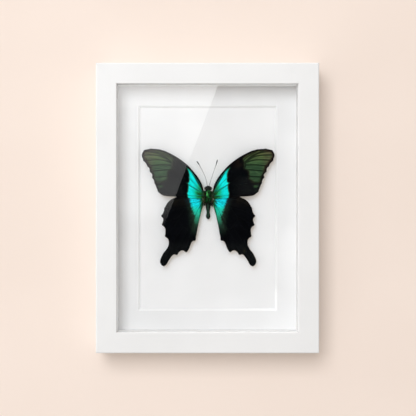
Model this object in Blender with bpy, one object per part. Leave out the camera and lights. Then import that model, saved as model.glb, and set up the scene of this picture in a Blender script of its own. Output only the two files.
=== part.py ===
"""A framed swallowtail butterfly: a white box frame, glazed, with a window mat and the spread
specimen glued to the board behind it. Run with: blender --background --python part.py

Metres, +Z up. The picture side faces -Y, the wall side +Y. The origin is the middle of the
bottom edge, half way through the depth, so the frame stands on z = 0.
"""

import math

import bmesh
import bpy
from mathutils import Vector

MM = 0.001
SHARP = math.radians(40)  # edges steeper than this stay crisp where a round piece is shaded smooth

# Driving dimensions of the frame, which is made for a 15 x 20 cm glass.
OUTER_WIDTH = 165 * MM
OUTER_HEIGHT = 214.5 * MM
DEPTH = 32 * MM
FACE = 15.4 * MM  # width of a rail seen from the front
WALL = 7.2 * MM  # thickness of a rail behind its front lip
LIP = 5 * MM  # thickness of the lip that the glass lies against
FRONT_Y = -DEPTH / 2
BACK_Y = DEPTH / 2
CENTRE_Z = OUTER_HEIGHT / 2
OUTER_ROUND = 0.8 * MM
INNER_ROUND = 0.5 * MM
ROUND_STEPS = 4
MITRE_GAP = 0.1 * MM
GAP = 0.2 * MM  # between layers of the stack, and round what sits in a slot

# The layers behind the lip, each (depth of its front, thickness), from the face of the frame.
GLASS_THICK = 2.0 * MM
SPACER_DEEP = 11.1 * MM
MAT_THICK = 1.5 * MM
BOARD_THICK = 3.0 * MM
PANEL_THICK = 2.6 * MM
GLASS_AT = LIP + GAP
SPACER_AT = GLASS_AT + GLASS_THICK + GAP
MAT_AT = SPACER_AT + SPACER_DEEP + GAP
BOARD_AT = MAT_AT + MAT_THICK + GAP
PANEL_AT = BOARD_AT + BOARD_THICK + GAP
PANEL_BACK = PANEL_AT + PANEL_THICK

SHEET_PLAY = 0.3 * MM  # between a sheet's edge and the wall of a rail
SHEET_WIDTH = OUTER_WIDTH - 2 * (WALL + SHEET_PLAY)
SHEET_HEIGHT = OUTER_HEIGHT - 2 * (WALL + SHEET_PLAY)
SPACER_SETBACK = 0.1 * MM  # how far the spacers stand back from the edge of the lip
SPACER_WIDE = FACE - WALL - SPACER_SETBACK - SHEET_PLAY
WINDOW_WIDTH = 102 * MM  # of the mat, at its back
WINDOW_HEIGHT = 152 * MM

# Steel points that hold the panel in, each pushed part way into the wall of a rail.
POINT_LONG = 13 * MM
POINT_WIDE = 8 * MM
POINT_THICK = 0.6 * MM
POINT_BURIED = 5 * MM
POINT_SPACING = 110 * MM  # between the two on a long rail
SLOT_CLEARANCE = 0.1 * MM

# Wedge nails across the mitres, driven in from the back.
NAIL_LEG = 3.4 * MM
NAIL_HALF_ANGLE = math.radians(50)
NAIL_THICK = 0.5 * MM
NAIL_DEEP = 8 * MM
NAIL_SUNK = 0.3 * MM
NAIL_FROM_CORNER = 3.4 * MM  # of the nail's fold, along the mitre

# Sawtooth hanger on the back panel.
HANGER_LONG = 46 * MM
HANGER_TALL = 9 * MM
HANGER_THICK = 0.8 * MM
HANGER_PAD = 8 * MM  # length of each flat end
HANGER_SLOPE = 3 * MM
HANGER_RAISED = 2 * MM
HANGER_Z = 184 * MM
TOOTH_COUNT = 9
TOOTH_PITCH = 2.4 * MM
TOOTH_DEEP = 1.6 * MM
SCREW_HEAD = 4.2 * MM
SCREW_HEAD_TALL = 1.1 * MM
SCREW_SHANK = 1.6 * MM
SCREW_INTO_PANEL = 2.0 * MM

# The specimen. Its own frame: x out from the body's axis, z up from the wing roots.
SPECIMEN_X = 0.5 * MM
SPECIMEN_Z = CENTRE_Z + 8.3 * MM
WING_THICK = 0.3 * MM
FOREWING_DEPTH = 14.2 * MM  # of its front, at the root
HINDWING_DEPTH = 14.8 * MM
WING_LIFT = math.radians(1.2)  # the wings rise towards their tips
CURVE_STEPS = 4  # outline points for each hand-set one

# Right forewing, in millimetres: from the root up the leading edge, round the tip, down the
# waved outer edge and back along the trailing edge.
FOREWING = [
    (3.3, 3.2), (4.1, 7.8), (5.6, 11.4), (7.8, 15.1), (11.1, 19.2), (14.6, 23.1), (18.3, 26.3),
    (22.5, 29.3), (26.9, 31.9), (32.2, 34.4), (37.4, 35.8), (42.7, 36.1), (46.9, 35.5),
    (49.2, 33.7), (50.0, 31.0), (48.9, 28.0), (46.7, 25.0), (44.6, 22.1), (43.6, 19.2),
    (42.1, 16.8), (41.8, 14.5), (40.4, 11.4), (39.1, 7.2), (37.4, 4.1), (35.6, 2.0),
    (33.0, 0.9), (29.0, 0.5), (24.0, 0.2), (16.0, -0.8), (8.0, -1.1), (3.5, -1.0),
]
# Right hindwing: from the root under the forewing, down the outer edge with its teeth, round
# the tail, along the lower edge and up the inner edge beside the body.
HINDWING = [
    (3.5, -2.6), (8.0, 1.4), (14.5, 2.2), (20.5, 1.4), (25.0, -0.4), (28.7, -2.3), (31.3, -5.1),
    (32.7, -8.4), (33.9, -11.6), (35.0, -14.4), (33.9, -16.8), (34.5, -20.8), (32.4, -23.8),
    (32.3, -29.2), (30.1, -32.1), (29.9, -35.6), (31.2, -38.8), (34.1, -42.6), (36.3, -47.7),
    (35.6, -50.7), (33.6, -52.1), (31.4, -50.9), (29.6, -47.7), (27.7, -44.9), (25.8, -43.2),
    (23.5, -43.1), (21.6, -41.2), (19.5, -40.1), (16.6, -41.1), (14.6, -39.4), (12.9, -34.9),
    (11.5, -33.2), (9.9, -32.3), (8.9, -28.9), (7.8, -22.8), (6.3, -15.8), (4.8, -10.0),
    (3.6, -5.8),
]
# Stations of the body, in millimetres: height, half width, half thickness, depth of the middle.
BODY = [
    (8.4, 0.5, 0.5, 15.2), (7.9, 1.8, 1.2, 15.2), (7.1, 2.7, 1.7, 15.2),
    (6.3, 2.9, 1.9, 15.2), (5.5, 2.4, 1.8, 15.3), (5.0, 2.0, 1.9, 15.4),
    (4.2, 2.4, 2.6, 15.8), (2.6, 2.8, 3.4, 16.2), (0.4, 3.0, 3.8, 16.3),
    (-1.8, 2.9, 3.7, 16.3), (-3.6, 2.5, 3.2, 16.3), (-4.8, 2.0, 2.5, 16.3),
    (-6.6, 1.9, 2.1, 16.4), (-9.0, 1.5, 1.7, 16.6), (-11.3, 1.2, 1.4, 16.8),
    (-13.2, 1.4, 1.5, 16.9), (-14.8, 1.6, 1.6, 17.0), (-16.0, 1.2, 1.2, 17.0),
    (-16.6, 0.5, 0.5, 17.0),
]
BODY_SIDES = 16
# Each antenna runs from the head to its club, in millimetres: x, height, depth, radius.
ANTENNA_LEFT = [
    (-0.7, 8.2, 13.6, 0.20), (-1.0, 10.6, 13.1, 0.15), (-2.3, 15.0, 12.6, 0.15),
    (-4.2, 19.4, 12.2, 0.15), (-6.2, 23.2, 11.9, 0.22), (-7.6, 25.4, 11.7, 0.44),
    (-8.7, 26.9, 11.6, 0.36),
]
ANTENNA_RIGHT = [
    (0.7, 8.2, 13.6, 0.20), (1.4, 10.8, 13.1, 0.15), (2.9, 15.2, 12.6, 0.15),
    (4.3, 19.4, 12.2, 0.15), (5.7, 23.4, 11.9, 0.22), (6.5, 26.1, 11.7, 0.44),
    (7.0, 28.0, 11.6, 0.36),
]


def clear_scene():
    for old in list(bpy.data.objects):
        bpy.data.objects.remove(old, do_unlink=True)


def finish(name, colour, roughness, metallic=0.0, alpha=1.0):
    """A Principled material with one colour."""
    made = bpy.data.materials.new(name)
    made.use_nodes = True
    shader = made.node_tree.nodes["Principled BSDF"]
    shader.inputs["Base Color"].default_value = (*colour, 1.0)
    shader.inputs["Roughness"].default_value = roughness
    shader.inputs["Metallic"].default_value = metallic
    shader.inputs["Alpha"].default_value = alpha
    return made


def at_depth(depth):
    """The y of a plane that lies this far behind the face of the frame."""
    return FRONT_Y + depth


def add_piece(name, points, faces, material):
    """A named object from world-space points and faces, its normals turned outwards."""
    mesh = bpy.data.meshes.new(name)
    mesh.from_pydata([tuple(p) for p in points], [], faces)
    work = bmesh.new()
    work.from_mesh(mesh)
    bmesh.ops.recalc_face_normals(work, faces=work.faces)
    work.to_mesh(mesh)
    work.free()
    mesh.materials.append(material)
    piece = bpy.data.objects.new(name, mesh)
    bpy.context.scene.collection.objects.link(piece)
    return piece


def smooth(piece):
    """Shades a round piece smooth, but for its sharp edges."""
    piece.data.shade_smooth()
    piece.data.set_sharp_from_angle(angle=SHARP)
    return piece


def sweep(name, first, last, material):
    """A closed solid between two loops with the same number of points."""
    count = len(first)
    sides = [(i, (i + 1) % count, count + (i + 1) % count, count + i) for i in range(count)]
    caps = [tuple(reversed(range(count))), tuple(range(count, 2 * count))]
    return add_piece(name, list(first) + list(last), sides + caps, material)


def slab(name, outline, front, back, material):
    """A flat plate with this (x, z) outline, between two depths."""
    return sweep(
        name,
        [(x, at_depth(front), z) for x, z in outline],
        [(x, at_depth(back), z) for x, z in outline],
        material,
    )


def rectangle(width, height, centre_x=0.0, centre_z=CENTRE_Z):
    x, z = width / 2, height / 2
    corners = [(-x, -z), (x, -z), (x, z), (-x, z)]
    return [(centre_x + a, centre_z + b) for a, b in corners]


def cut_away(piece, cutter):
    """Takes the cutter's shape out of a piece. The cutter stays in the file as a hidden guide."""
    cutter.hide_render = True
    cutter.display_type = "WIRE"
    cut = piece.modifiers.new("cut_" + cutter.name, "BOOLEAN")
    cut.operation = "DIFFERENCE"
    cut.solver = "EXACT"
    cut.object = cutter


def smooth_loop(corners, steps=CURVE_STEPS):
    """A closed Catmull-Rom curve through these points."""
    count = len(corners)
    found = []
    for i in range(count):
        a, b, c, d = (Vector(corners[(i + k) % count]) for k in (-1, 0, 1, 2))
        for s in range(steps):
            t = s / steps
            found.append(
                0.5 * (2 * b + (c - a) * t + (2 * a - 5 * b + 4 * c - d) * t * t
                       + (3 * b - a - 3 * c + d) * t ** 3)
            )
    return found


# ---- the frame's rails -------------------------------------------------------------------

SIDES = {  # name: (along the rail, inwards, half the rail's outer length)
    "left": (Vector((0, 0, 1)), Vector((1, 0, 0)), OUTER_HEIGHT / 2),
    "right": (Vector((0, 0, 1)), Vector((-1, 0, 0)), OUTER_HEIGHT / 2),
    "top": (Vector((1, 0, 0)), Vector((0, 0, -1)), OUTER_WIDTH / 2),
    "bottom": (Vector((1, 0, 0)), Vector((0, 0, 1)), OUTER_WIDTH / 2),
}


def middle_of(side):
    """The middle of a rail's outer edge, in the plane y = 0."""
    _, inwards, _ = SIDES[side]
    across = OUTER_WIDTH / 2 if inwards.x else OUTER_HEIGHT / 2
    return Vector((0, 0, CENTRE_Z)) - inwards * across


def quarter(centre, radius, start):
    """A quarter circle in the rail's section, clockwise, from an angle in degrees."""
    turns = [math.radians(start - 90 * i / ROUND_STEPS) for i in range(ROUND_STEPS + 1)]
    return [(centre[0] + radius * math.cos(a), centre[1] + radius * math.sin(a)) for a in turns]


def rail_section():
    """(inwards, depth) corners of a rail: a wall with a lip at the front."""
    outer = quarter((OUTER_ROUND, OUTER_ROUND), OUTER_ROUND, 270)
    inner = quarter((FACE - INNER_ROUND, INNER_ROUND), INNER_ROUND, 360)
    return [(0, DEPTH), *reversed(outer), *reversed(inner), (FACE, LIP), (WALL, LIP), (WALL, DEPTH)]


def rail(side, material):
    along, inwards, half = SIDES[side]
    middle = middle_of(side)
    ends = []
    for sign in (-1, 1):
        ends.append([
            middle + inwards * u + along * sign * (half - u - MITRE_GAP * math.sqrt(0.5))
            + Vector((0, at_depth(d), 0))
            for u, d in rail_section()
        ])
    return smooth(sweep("rail_" + side, ends[0], ends[1], material))


def bar_across(name, side, centre, inner, width, front, back, material):
    """A flat bar that starts `inner` in from a rail's outer edge and runs inwards: (from, to)."""
    along, inwards, _ = SIDES[side]
    start = middle_of(side) + along * centre
    corners = [
        start + inwards * u + along * w
        for u, w in ((inner[0], -width / 2), (inner[1], -width / 2), (inner[1], width / 2),
                     (inner[0], width / 2))
    ]
    return slab(name, [(p.x, p.z) for p in corners], front, back, material)


def points_and_slots(rails, steel):
    """The steel points, and a slot for each in the wall of its rail."""
    places = [("left", -1), ("left", 1), ("right", -1), ("right", 1), ("top", 0), ("bottom", 0)]
    front = PANEL_BACK + GAP
    names = {-1: "_lower", 0: "", 1: "_upper"}
    for side, end in places:
        centre = end * POINT_SPACING / 2
        start = WALL - POINT_BURIED
        name = "point_" + side + names[end]
        bar_across(name, side, centre, (start, start + POINT_LONG), POINT_WIDE,
                   front, front + POINT_THICK, steel)
        slot = bar_across("slot_" + name, side, centre, (start - SLOT_CLEARANCE, WALL + 1 * MM),
                          POINT_WIDE + 2 * SLOT_CLEARANCE, front - SLOT_CLEARANCE,
                          front + POINT_THICK + SLOT_CLEARANCE, steel)
        cut_away(rails[side], slot)


def wedge_outline(thickness, leg):
    """(along the mitre, across it) outline of a folded nail whose fold points at the corner."""
    ahead, side = math.cos(NAIL_HALF_ANGLE), math.sin(NAIL_HALF_ANGLE)
    half = thickness / 2
    tip = Vector((leg * ahead, leg * side))
    off = Vector((-side, ahead)) * half
    fold = Vector((half / side, 0))
    outer = [tip + off, -fold, Vector(((tip + off).x, -(tip + off).y))]
    inner = [Vector(((tip - off).x, -(tip - off).y)), fold, tip - off]
    return outer + inner


def corner_nails(rails, steel):
    """A wedge nail sunk in the back of each mitre, with a matching slot in both rails."""
    for across, side in ((-1, "left"), (1, "right")):
        for up, end in ((-1, "bottom"), (1, "top")):
            corner = Vector((across * OUTER_WIDTH / 2, CENTRE_Z + up * OUTER_HEIGHT / 2))
            mitre = Vector((-across, -up)).normalized()
            sideways = Vector((mitre.y, -mitre.x))
            origin = corner + mitre * NAIL_FROM_CORNER

            def placed(outline):
                return [tuple(origin + mitre * a + sideways * b) for a, b in outline]

            name = f"corner_nail_{end}_{side}"
            slab(name, placed(wedge_outline(NAIL_THICK, NAIL_LEG)),
                 DEPTH - NAIL_SUNK - NAIL_DEEP, DEPTH - NAIL_SUNK, steel)
            wide = wedge_outline(NAIL_THICK + 2 * SLOT_CLEARANCE, NAIL_LEG + SLOT_CLEARANCE)
            slot = slab("slot_" + name, placed(wide),
                        DEPTH - NAIL_SUNK - NAIL_DEEP - SLOT_CLEARANCE, DEPTH + 1 * MM, steel)
            cut_away(rails[side], slot)
            cut_away(rails[end], slot)


# ---- what lies in the frame --------------------------------------------------------------


def spacers(material):
    """Four strips that keep the mat off the glass. The side ones fit between the other two."""
    for side, (_, _, half) in SIDES.items():
        first = WALL + SHEET_PLAY
        long = 2 * (half - first)
        if side in ("left", "right"):
            long -= 2 * (SPACER_WIDE + MITRE_GAP)
        bar_across("spacer_" + side, side, 0, (first, first + SPACER_WIDE), long,
                   SPACER_AT, SPACER_AT + SPACER_DEEP, material)


def window_mat(material):
    """A sheet with a window whose edge is cut at 45 degrees, wider at the front."""
    front, back = MAT_AT, MAT_AT + MAT_THICK
    flare = 2 * MAT_THICK
    loops = [
        (rectangle(SHEET_WIDTH, SHEET_HEIGHT), front),
        (rectangle(WINDOW_WIDTH + flare, WINDOW_HEIGHT + flare), front),
        (rectangle(WINDOW_WIDTH, WINDOW_HEIGHT), back),
        (rectangle(SHEET_WIDTH, SHEET_HEIGHT), back),
    ]
    points = [(x, at_depth(d), z) for loop, d in loops for x, z in loop]
    faces = []
    for a in range(4):
        b = (a + 1) % 4
        for i in range(4):
            j = (i + 1) % 4
            faces.append((4 * a + i, 4 * a + j, 4 * b + j, 4 * b + i))
    return add_piece("window_mat", points, faces, material)


def cylinder(name, centre, radius, front, back, material, sides=20):
    turns = [2 * math.pi * i / sides for i in range(sides)]
    outline = [(centre[0] + radius * math.cos(a), centre[1] + radius * math.sin(a)) for a in turns]
    return slab(name, outline, front, back, material)


def hanger(panel, steel):
    """A strip with flat ends and a raised, toothed middle, on two round-headed screws."""
    flat = PANEL_BACK + GAP
    half = HANGER_LONG / 2
    knees = [(-half, 0), (-half + HANGER_PAD, 0), (-half + HANGER_PAD + HANGER_SLOPE, HANGER_RAISED)]
    path = knees + [(-x, d) for x, d in reversed(knees)]
    section = [(x, flat + d) for x, d in path]
    section += [(x, flat + d + HANGER_THICK) for x, d in reversed(path)]
    low, high = HANGER_Z - HANGER_TALL / 2, HANGER_Z + HANGER_TALL / 2
    strip = sweep(
        "sawtooth_hanger",
        [(x, at_depth(d), low) for x, d in section],
        [(x, at_depth(d), high) for x, d in section],
        steel,
    )
    for i in range(TOOTH_COUNT):
        x = (i - (TOOTH_COUNT - 1) / 2) * TOOTH_PITCH
        notch = [(x - TOOTH_PITCH * 0.45, low - 1 * MM), (x + TOOTH_PITCH * 0.45, low - 1 * MM),
                 (x + TOOTH_PITCH * 0.45, low), (x, low + TOOTH_DEEP), (x - TOOTH_PITCH * 0.45, low)]
        cut_away(strip, slab(f"notch_{i}", notch, flat + 1 * MM,
                             flat + HANGER_RAISED + HANGER_THICK + 1 * MM, steel))
    for sign, word in ((-1, "left"), (1, "right")):
        centre = (sign * (half - HANGER_PAD / 2), HANGER_Z)
        under_head = flat + HANGER_THICK + SLOT_CLEARANCE
        screw(f"hanger_screw_{word}", centre, under_head, steel)
        hole = SCREW_SHANK / 2 + SLOT_CLEARANCE
        cut_away(strip, cylinder(f"hole_{word}", centre, hole, flat - 1 * MM, under_head + 1 * MM,
                                 steel))
        cut_away(panel, cylinder(f"pilot_{word}", centre, hole,
                                 PANEL_BACK - SCREW_INTO_PANEL - SLOT_CLEARANCE,
                                 PANEL_BACK + 1 * MM, steel))


def screw(name, centre, under_head, material, sides=20):
    """A round-headed screw pointing into the panel: rings of (depth, radius) joined up."""
    dome = [
        (under_head + SCREW_HEAD_TALL * math.sin(a), SCREW_HEAD / 2 * math.cos(a))
        for a in (math.radians(v) for v in (0, 25, 50, 72))
    ]
    rings = [(PANEL_BACK - SCREW_INTO_PANEL, SCREW_SHANK * 0.3),
             (PANEL_BACK - SCREW_INTO_PANEL * 0.6, SCREW_SHANK / 2),
             (under_head, SCREW_SHANK / 2), *dome]
    points = []
    for depth, radius in rings:
        for i in range(sides):
            a = 2 * math.pi * i / sides
            points.append((centre[0] + radius * math.cos(a), at_depth(depth),
                           centre[1] + radius * math.sin(a)))
    return smooth(add_piece(name, points, ring_faces(len(rings), sides), material))


def ring_faces(rings, sides):
    """Faces that join rings of points end to end, with both ends closed."""
    faces = [tuple(reversed(range(sides))), tuple(range((rings - 1) * sides, rings * sides))]
    for r in range(rings - 1):
        for i in range(sides):
            j = (i + 1) % sides
            faces.append((r * sides + i, r * sides + j, (r + 1) * sides + j, (r + 1) * sides + i))
    return faces


# ---- the specimen ------------------------------------------------------------------------


def specimen_point(x, z, depth):
    return Vector((SPECIMEN_X + x, at_depth(depth), SPECIMEN_Z + z))


def wing(name, outline, sign, root_depth, material):
    """A thin plate with a wing's outline, which rises towards the glass away from the body."""
    loop = smooth_loop(outline)
    layers = []
    for thickness in (0, WING_THICK):
        layers.append([
            specimen_point(sign * x * MM, z * MM,
                           root_depth + thickness - abs(x) * MM * math.tan(WING_LIFT))
            for x, z in loop
        ])
    return sweep(name, layers[0], layers[1], material)


def body(material):
    """Head, thorax and abdomen as one solid, lofted through oval stations."""
    points = []
    for z, half_width, half_thick, depth in BODY:
        for i in range(BODY_SIDES):
            a = 2 * math.pi * i / BODY_SIDES
            points.append(specimen_point(half_width * math.cos(a) * MM, z * MM,
                                         (depth + half_thick * math.sin(a)) * MM))
    return smooth(add_piece("body", points, ring_faces(len(BODY), BODY_SIDES), material))


def antenna(name, route, material):
    """A tapered tube with a club at its end, as a bevelled curve."""
    line = bpy.data.curves.new(name, "CURVE")
    line.dimensions = "3D"
    line.bevel_depth = 1 * MM  # each point's radius is in millimetres
    line.bevel_resolution = 2
    line.use_fill_caps = True
    spline = line.splines.new("POLY")
    spline.points.add(len(route) - 1)
    for point, (x, z, depth, radius) in zip(spline.points, route):
        point.co = (*specimen_point(x * MM, z * MM, depth * MM), 1)
        point.radius = radius
    line.materials.append(material)
    piece = bpy.data.objects.new(name, line)
    bpy.context.scene.collection.objects.link(piece)
    return piece


def main():
    clear_scene()
    white = finish("white_lacquer", (0.88, 0.88, 0.87), 0.45)
    card = finish("white_card", (0.90, 0.90, 0.89), 0.85)
    clear = finish("picture_glass", (0.95, 0.98, 0.97), 0.02, alpha=0.2)
    hardboard = finish("hardboard", (0.33, 0.21, 0.12), 0.75)
    steel = finish("zinc_steel", (0.62, 0.63, 0.64), 0.35, metallic=1.0)
    wing_scales = finish("wing_scales", (0.01, 0.30, 0.28), 0.6)
    chitin = finish("chitin", (0.01, 0.05, 0.02), 0.5)

    rails = {side: rail(side, white) for side in SIDES}
    points_and_slots(rails, steel)
    corner_nails(rails, steel)
    slab("glass", rectangle(SHEET_WIDTH, SHEET_HEIGHT), GLASS_AT, GLASS_AT + GLASS_THICK, clear)
    spacers(card)
    window_mat(card)
    slab("mount_board", rectangle(SHEET_WIDTH, SHEET_HEIGHT), BOARD_AT, BOARD_AT + BOARD_THICK, card)
    panel = slab("back_panel", rectangle(SHEET_WIDTH, SHEET_HEIGHT), PANEL_AT, PANEL_BACK, hardboard)
    hanger(panel, steel)

    for sign, word in ((-1, "left"), (1, "right")):
        wing("forewing_" + word, FOREWING, sign, FOREWING_DEPTH, wing_scales)
        wing("hindwing_" + word, HINDWING, sign, HINDWING_DEPTH, wing_scales)
    body(chitin)
    antenna("antenna_left", ANTENNA_LEFT, chitin)
    antenna("antenna_right", ANTENNA_RIGHT, chitin)


main()
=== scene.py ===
"""The looks of a framed swallowtail: white box frame, glass, window mat and the spread specimen.

Everything is in metres, +Z up, with the picture side towards -Y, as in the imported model. Sizes on
the specimen are written in millimetres, in its own frame: u out from the body's axis, v up from
the wing roots.
"""

import math

import bmesh
import bpy
import numpy as np
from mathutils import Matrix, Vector
from mathutils.geometry import delaunay_2d_cdt


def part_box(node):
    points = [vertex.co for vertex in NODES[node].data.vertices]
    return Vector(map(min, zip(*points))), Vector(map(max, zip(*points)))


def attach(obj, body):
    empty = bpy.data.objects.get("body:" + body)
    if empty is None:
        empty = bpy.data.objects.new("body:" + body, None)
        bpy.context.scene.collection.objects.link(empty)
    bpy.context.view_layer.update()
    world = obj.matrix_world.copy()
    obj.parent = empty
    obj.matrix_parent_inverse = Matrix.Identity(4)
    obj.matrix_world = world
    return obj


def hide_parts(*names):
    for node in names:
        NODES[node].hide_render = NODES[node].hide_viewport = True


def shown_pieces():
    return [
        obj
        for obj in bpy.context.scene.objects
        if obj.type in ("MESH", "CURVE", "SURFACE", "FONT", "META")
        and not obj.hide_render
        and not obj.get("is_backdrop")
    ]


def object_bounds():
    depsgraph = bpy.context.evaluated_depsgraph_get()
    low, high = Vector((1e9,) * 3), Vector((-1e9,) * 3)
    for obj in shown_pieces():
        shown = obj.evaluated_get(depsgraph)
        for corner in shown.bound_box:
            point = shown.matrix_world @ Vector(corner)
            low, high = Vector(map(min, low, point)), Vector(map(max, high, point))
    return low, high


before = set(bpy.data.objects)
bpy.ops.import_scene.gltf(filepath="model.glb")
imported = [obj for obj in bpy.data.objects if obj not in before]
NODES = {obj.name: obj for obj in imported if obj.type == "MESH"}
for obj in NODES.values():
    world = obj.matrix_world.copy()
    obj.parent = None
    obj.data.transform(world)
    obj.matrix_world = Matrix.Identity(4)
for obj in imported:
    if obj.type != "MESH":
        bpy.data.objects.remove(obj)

CAD_LOW, CAD_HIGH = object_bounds()
BODY = "root"
MM = 0.001
SEED = 7
SIDES = ((-1, "left"), (1, "right"))

# Where things are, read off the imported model.
FACE_Y = CAD_LOW.y
BACK_Y = CAD_HIGH.y
MIDDLE = (CAD_LOW + CAD_HIGH) / 2
BODY_LOW, BODY_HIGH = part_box("body")
HEAD_ABOVE_ROOTS = 8.4 * MM
AXIS_X = (BODY_LOW.x + BODY_HIGH.x) / 2
ROOT_Z = BODY_HIGH.z - HEAD_ABOVE_ROOTS


# ---- node trees written as expressions ---------------------------------------------------


def operator(operation, turned=False):
    """A method for a Python operator, which adds a Math node. turned swaps its two sides."""
    def method(self, other):
        sides = (other, self) if turned else (self, other)
        return self.maths(operation, *sides)
    return method


class Value:
    """A node's output that arithmetic can be written on. Each operator adds its Math node."""

    __add__, __radd__ = operator("ADD"), operator("ADD", turned=True)
    __sub__, __rsub__ = operator("SUBTRACT"), operator("SUBTRACT", turned=True)
    __mul__, __rmul__ = operator("MULTIPLY"), operator("MULTIPLY", turned=True)
    __truediv__ = operator("DIVIDE")
    most = operator("MAXIMUM")

    def __init__(self, tree, socket):
        self.tree = tree
        self.socket = socket

    def maths(self, operation, *values, clamp=False):
        settings = {"operation": operation, "use_clamp": clamp}
        return self.tree.add("ShaderNodeMath", settings, dict(enumerate(values)))

    def __abs__(self):
        return self.maths("ABSOLUTE", self)

    def root(self):
        return self.maths("SQRT", self)

    def sine(self):
        return self.maths("SINE", self)

    def sign(self):
        return self.maths("SIGN", self)

    def clamped(self):
        return self.maths("ADD", self, 0.0, clamp=True)

    def also(self, name):
        """Another output of the same node."""
        return Value(self.tree, self.socket.node.outputs[name])

    def rise(self, low, high):
        """0 below low and 1 above high, smoothly between. High may be the smaller of the two."""
        settings = {"interpolation_type": "SMOOTHSTEP"}
        if low > high:
            return 1 - self.rise(high, low)
        return self.tree.add("ShaderNodeMapRange", settings, {0: self, 1: low, 2: high})


class Nodes:
    """A node tree that is built by adding nodes with their settings and the values of their sockets."""

    def __init__(self, tree):
        self.tree = tree

    def add(self, kind, settings=None, values=None, out=0):
        """Adds a node: settings first, then values or links. Returns its output, or the node."""
        node = self.tree.nodes.new(kind)
        for name, value in (settings or {}).items():
            if name == "stops":
                self.set_stops(node.color_ramp, value)
            else:
                setattr(node, name, value)
        for key, value in (values or {}).items():
            self.feed(node.inputs[key], value)
        return node if out is None else Value(self, node.outputs[out])

    def feed(self, socket, value):
        if isinstance(value, Value):
            self.tree.links.new(value.socket, socket)
        elif isinstance(value, tuple) and len(value) == 3 and socket.type == "RGBA":
            socket.default_value = (*value, 1.0)
        else:
            socket.default_value = value

    @staticmethod
    def set_stops(ramp, stops):
        while len(ramp.elements) < len(stops):
            ramp.elements.new(1.0)
        for element, (place, colour) in zip(ramp.elements, stops):
            element.position = place
            element.color = (*colour, 1.0)


class Finish(Nodes):
    """A material on a Principled shader."""

    def __init__(self, name):
        self.material = bpy.data.materials.new(name)
        self.material.use_nodes = True
        super().__init__(self.material.node_tree)
        self.tree.nodes.clear()

    def place(self):
        """Object coordinates, in metres."""
        return self.add("ShaderNodeTexCoord", out="Object")

    def across_and_up(self):
        """The x and z of the object coordinates."""
        split = self.add("ShaderNodeSeparateXYZ", None, {0: self.place()})
        return split, split.also("Z")

    def on_specimen(self):
        """u and v of the specimen's own frame, in millimetres, with u below zero at the left."""
        x, z = self.across_and_up()
        return (x - AXIS_X) / MM, (z - ROOT_Z) / MM

    def attribute(self, name):
        """A number carried by the mesh's points."""
        settings = {"attribute_type": "GEOMETRY", "attribute_name": name}
        return self.add("ShaderNodeAttribute", settings, out="Fac")

    def vector(self, x, y, z):
        return self.add("ShaderNodeCombineXYZ", None, {0: x, 1: y, 2: z})

    def stretched(self, vector, scale):
        return self.add("ShaderNodeMapping", None, {"Vector": vector, "Scale": scale})

    def noise(self, vector, scale, detail=3.0, roughness=0.5, colour=False):
        values = {"Vector": vector, "Scale": scale, "Detail": detail, "Roughness": roughness}
        return self.add("ShaderNodeTexNoise", None, values, out=1 if colour else 0)

    def mix(self, share, first, second):
        """first where share is 0, second where it is 1."""
        settings = {"data_type": "RGBA", "clamp_factor": True}
        return self.add("ShaderNodeMix", settings, {0: share, 6: first, 7: second}, out=2)

    def ramp(self, place, stops):
        return self.add("ShaderNodeValToRGB", {"stops": stops}, {0: place})

    def bump(self, height, distance, strength=1.0):
        values = {"Height": height, "Distance": distance, "Strength": strength}
        return self.add("ShaderNodeBump", None, values)

    def principled(self, **sockets):
        values = {name.replace("_", " "): value for name, value in sockets.items()}
        return self.add("ShaderNodeBsdfPrincipled", None, values)

    def done(self, shader):
        self.add("ShaderNodeOutputMaterial", None, {"Surface": shader}, out=None)
        return self.material

    def surface(self, **sockets):
        """Ends a material whose shader is one Principled."""
        return self.done(self.principled(**sockets))


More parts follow.
